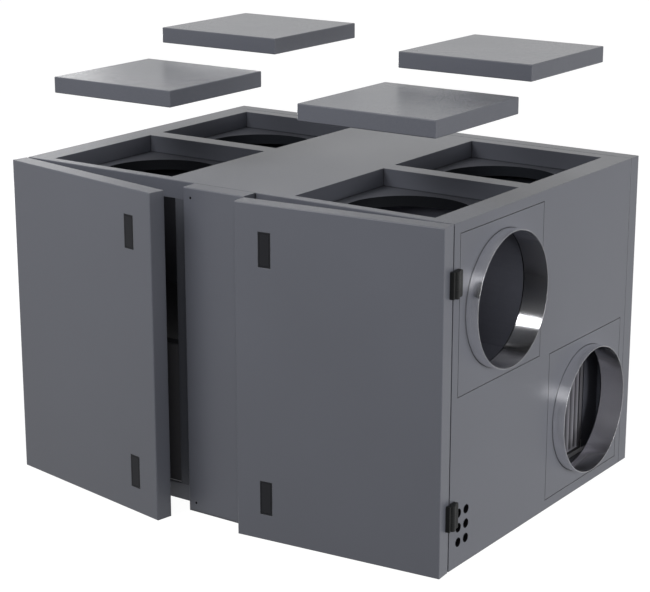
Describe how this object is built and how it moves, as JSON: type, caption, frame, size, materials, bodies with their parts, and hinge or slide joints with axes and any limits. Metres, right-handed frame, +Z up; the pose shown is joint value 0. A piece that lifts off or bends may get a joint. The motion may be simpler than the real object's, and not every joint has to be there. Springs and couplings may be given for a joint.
{
  "type": "air handling unit",
  "caption": "Sheet-steel air handling unit cabinet with hinged front doors, a fixed centre panel, round duct spigots on one end and square roof duct openings with lift-out covers.",
  "frame": {"origin": "centre of the cabinet's flat underside", "axes": "+Z up, -Y towards the front with the doors, +X towards the end with the duct spigots"},
  "size_m": [1.615, 1.2912, 1.359],
  "materials": {
    "cabinet_paint": "fine-textured dark grey powder coat, satin",
    "spigot_steel": "bright galvanised sheet",
    "inner_steel": "dull dark coated sheet",
    "latch_plastic": "matt black moulded plastic",
    "hinge_black": "black coated die casting, satin",
    "filter_medium": "folded glass fibre paper"
  },
  "bodies": {
    "cabinet": {"back_panel": "cabinet_paint", "centre_front_panel": "cabinet_paint", "centre_stile": "cabinet_paint", "floor_panel": "cabinet_paint", "left_back_duct_plate": "inner_steel", "left_back_shelf": "inner_steel", "left_bulkhead": "inner_steel", "left_end_panel": "cabinet_paint", "left_filter": "filter_medium", "left_filter_rails": "inner_steel", "left_front_duct_plate": "inner_steel", "left_front_shelf": "inner_steel", "left_lower_hinge_body_leaf": "hinge_black", "left_partition": "inner_steel", "left_upper_hinge_body_leaf": "hinge_black", "lower_duct_panel": "cabinet_paint", "lower_spigot": "spigot_steel", "right_back_duct_plate": "inner_steel", "right_back_shelf": "inner_steel", "right_bulkhead": "inner_steel", "right_end_panel": "cabinet_paint", "right_filter": "filter_medium", "right_filter_rails": "inner_steel", "right_front_duct_plate": "inner_steel", "right_front_shelf": "inner_steel", "right_lower_hinge_body_leaf": "hinge_black", "right_partition": "inner_steel", "right_upper_hinge_body_leaf": "hinge_black", "roof_panel": "cabinet_paint", "upper_duct_panel": "cabinet_paint", "upper_spigot": "spigot_steel"},
    "left_door": {"left_door": "cabinet_paint", "left_lower_hinge_door_leaf": "hinge_black", "left_lower_latch": "latch_plastic", "left_upper_hinge_door_leaf": "hinge_black", "left_upper_latch": "latch_plastic"},
    "right_door": {"right_door": "cabinet_paint", "right_lower_hinge_door_leaf": "hinge_black", "right_lower_latch": "latch_plastic", "right_upper_hinge_door_leaf": "hinge_black", "right_upper_latch": "latch_plastic"},
    "left_front_cover": {"left_front_cover": "cabinet_paint"},
    "right_front_cover": {"right_front_cover": "cabinet_paint"},
    "left_back_cover": {"left_back_cover": "cabinet_paint"},
    "right_back_cover": {"right_back_cover": "cabinet_paint"}
  },
  "joints": [
    {"name": "left_door_hinge", "type": "hinge", "parent": "cabinet", "child": "left_door", "pos_m": [-0.789, -0.5585, 0], "axis": [0, 0, -1], "range_deg": [-10.4, 89.6]},
    {"name": "right_door_hinge", "type": "hinge", "parent": "cabinet", "child": "right_door", "pos_m": [0.789, -0.5585, 0], "axis": [0, 0, 1], "range_deg": [-5.2, 94.8]},
    {"name": "left_front_cover_lift", "type": "slide", "parent": "cabinet", "child": "left_front_cover", "axis": [0, 0, 1], "range_m": [-0.256, 0]},
    {"name": "right_front_cover_lift", "type": "slide", "parent": "cabinet", "child": "right_front_cover", "axis": [0, 0, 1], "range_m": [-0.266, 0]},
    {"name": "left_back_cover_lift", "type": "slide", "parent": "cabinet", "child": "left_back_cover", "axis": [0, 0, 1], "range_m": [-0.349, 0]},
    {"name": "right_back_cover_lift", "type": "slide", "parent": "cabinet", "child": "right_back_cover", "axis": [0, 0, 1], "range_m": [-0.349, 0]}
  ]
}
